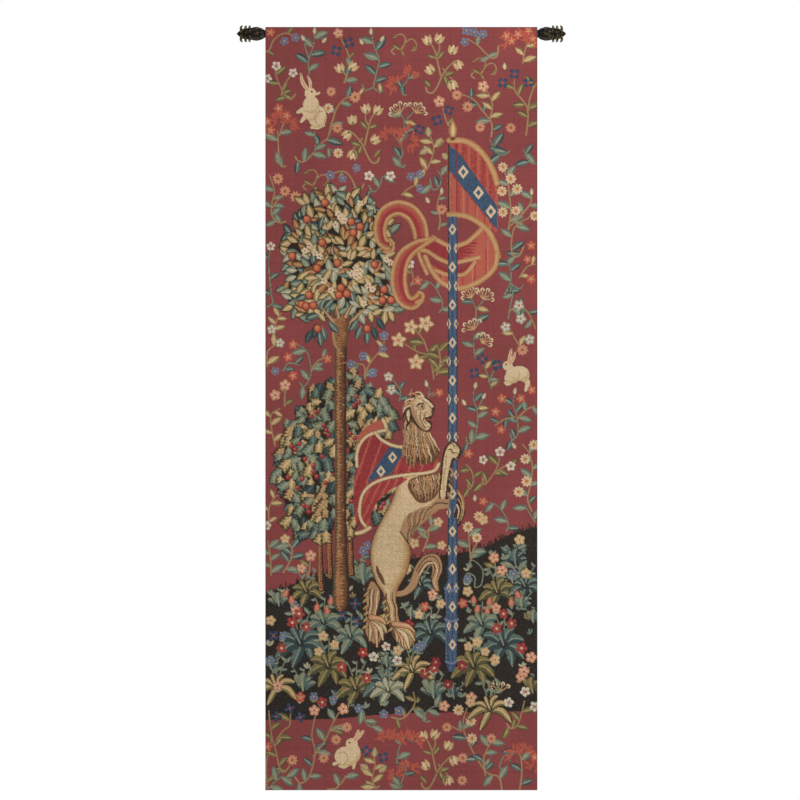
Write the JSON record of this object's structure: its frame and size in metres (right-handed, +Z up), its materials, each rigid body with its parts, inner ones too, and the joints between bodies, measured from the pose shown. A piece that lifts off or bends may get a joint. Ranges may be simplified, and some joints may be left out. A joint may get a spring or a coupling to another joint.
{
  "type": "tapestry wall hanging",
  "caption": "Tall narrow lined tapestry with woven pictures, hung by a sleeve from a rod with leaf-shaped finials on two hidden wall brackets.",
  "frame": {"origin": "centre of the four wall-screw holes on the wall plane, 28 mm below the height of the rod's axis and midway between the two brackets", "axes": "+X to the right of someone who faces the tapestry, +Y into the wall, +Z up; the woven face looks along -Y"},
  "size_m": [0.824, 0.0651, 1.9108],
  "materials": {
    "woven_tapestry": "matte figured weave, rose-red and black grounds",
    "lining_cotton": "plain-weave unbleached cotton",
    "black_steel": "satin black enamel on steel",
    "dark_bronze": "glossy near-black bronze paint, gold rubbed through on the raised edges",
    "zinc_steel": "bright zinc plate"
  },
  "bodies": {
    "brackets": {"wall_plate_left": "black_steel", "bracket_post_left": "black_steel", "rod_cradle_left": "black_steel", "wall_plate_right": "black_steel", "bracket_post_right": "black_steel", "rod_cradle_right": "black_steel"},
    "rod": {"rod_tube": "black_steel"},
    "hanging": {"tapestry_panel": "woven_tapestry", "lining": "lining_cotton", "rod_sleeve": "lining_cotton"},
    "finial_left": {"finial_spigot_left": "zinc_steel", "finial_ring_left": "dark_bronze", "finial_casting_left": "dark_bronze"},
    "grub_screw_left": {"grub_screw_left": "zinc_steel"},
    "clamp_screw_left": {"clamp_screw_left": "dark_bronze"},
    "finial_right": {"finial_spigot_right": "zinc_steel", "finial_ring_right": "dark_bronze", "finial_casting_right": "dark_bronze"},
    "grub_screw_right": {"grub_screw_right": "zinc_steel"},
    "clamp_screw_right": {"clamp_screw_right": "dark_bronze"}
  },
  "joints": [
    {"name": "rod_lift", "type": "slide", "parent": "brackets", "child": "rod", "axis": [0, 0, 1], "range_m": [0, 0.03]},
    {"name": "hanging_swing", "type": "hinge", "parent": "rod", "child": "hanging", "pos_m": [0, -0.045, 0.028], "axis": [1, 0, 0], "range_deg": [-30, 1.5]},
    {"name": "finial_left_pull", "type": "slide", "parent": "rod", "child": "finial_left", "axis": [-1, 0, 0], "range_m": [0, 0.03]},
    {"name": "grub_screw_left_turn", "type": "hinge", "parent": "rod", "child": "grub_screw_left", "pos_m": [-0.331, -0.045, 0.019], "axis": [0, 0, 1], "continuous": true},
    {"name": "clamp_screw_left_turn", "type": "hinge", "parent": "brackets", "child": "clamp_screw_left", "pos_m": [-0.315, -0.045, 0.013], "axis": [0, 0, 1], "continuous": true},
    {"name": "finial_right_pull", "type": "slide", "parent": "rod", "child": "finial_right", "axis": [1, 0, 0], "range_m": [0, 0.03]},
    {"name": "grub_screw_right_turn", "type": "hinge", "parent": "rod", "child": "grub_screw_right", "pos_m": [0.331, -0.045, 0.019], "axis": [0, 0, 1], "continuous": true},
    {"name": "clamp_screw_right_turn", "type": "hinge", "parent": "brackets", "child": "clamp_screw_right", "pos_m": [0.315, -0.045, 0.013], "axis": [0, 0, 1], "continuous": true}
  ]
}
